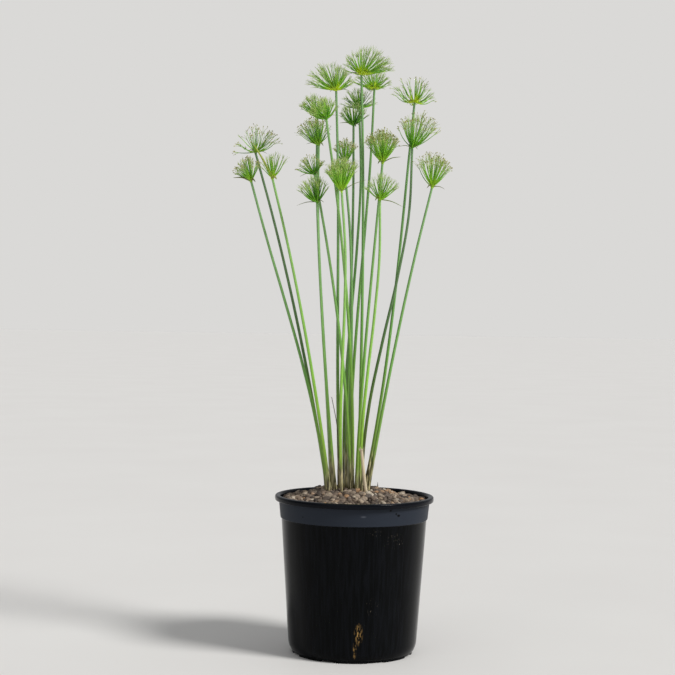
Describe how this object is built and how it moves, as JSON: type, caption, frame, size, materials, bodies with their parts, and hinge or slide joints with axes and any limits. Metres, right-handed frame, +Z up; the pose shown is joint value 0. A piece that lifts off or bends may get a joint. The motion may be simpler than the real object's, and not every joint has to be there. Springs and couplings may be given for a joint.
{
  "type": "potted dwarf papyrus",
  "caption": "Clump of slender upright papyrus stems topped by round tufts of fine rays, in a gravel-topped, slightly tapered round black plastic pot with a rolled lip.",
  "frame": {"origin": "centre of the underside of the pot's base, on the surface that the pot stands on", "axes": "+Z up along the pot's axis, +X to the viewer's right, -Y towards the side of the pot that faces the viewer in the picture"},
  "size_m": [0.2744, 0.2, 0.7645],
  "materials": {
    "pot": "semi-gloss black polypropylene, injection moulded",
    "soil": "moist dark potting mix, matt",
    "gravel": "mixed brown, grey and tan pebbles, matt",
    "culm": "living green stem, smooth and slightly waxy",
    "umbel": "living green rays, yellow-green at the middle",
    "dry_stub": "dry cream stem, matt",
    "dry_leaf": "dead dark brown leaf, matt"
  },
  "bodies": {
    "root": {"culm_01": "culm", "culm_02": "culm", "culm_03": "culm", "culm_04": "culm", "culm_05": "culm", "culm_06": "culm", "culm_07": "culm", "culm_08": "culm", "culm_09": "culm", "culm_10": "culm", "culm_11": "culm", "culm_12": "culm", "culm_13": "culm", "culm_14": "culm", "culm_15": "culm", "culm_16": "culm", "culm_17": "culm", "culm_18": "culm", "culm_19": "culm", "culm_20": "culm", "dry_leaf": "dry_leaf", "dry_stub": "dry_stub", "gravel": "gravel", "pot": "pot", "soil": "soil", "umbel_01": "umbel", "umbel_02": "umbel", "umbel_03": "umbel", "umbel_04": "umbel", "umbel_05": "umbel", "umbel_06": "umbel", "umbel_07": "umbel", "umbel_08": "umbel", "umbel_09": "umbel", "umbel_10": "umbel", "umbel_11": "umbel", "umbel_12": "umbel", "umbel_13": "umbel", "umbel_14": "umbel", "umbel_15": "umbel", "umbel_16": "umbel", "umbel_17": "umbel", "umbel_18": "umbel", "umbel_19": "umbel", "umbel_20": "umbel"}
  },
  "joints": []
}
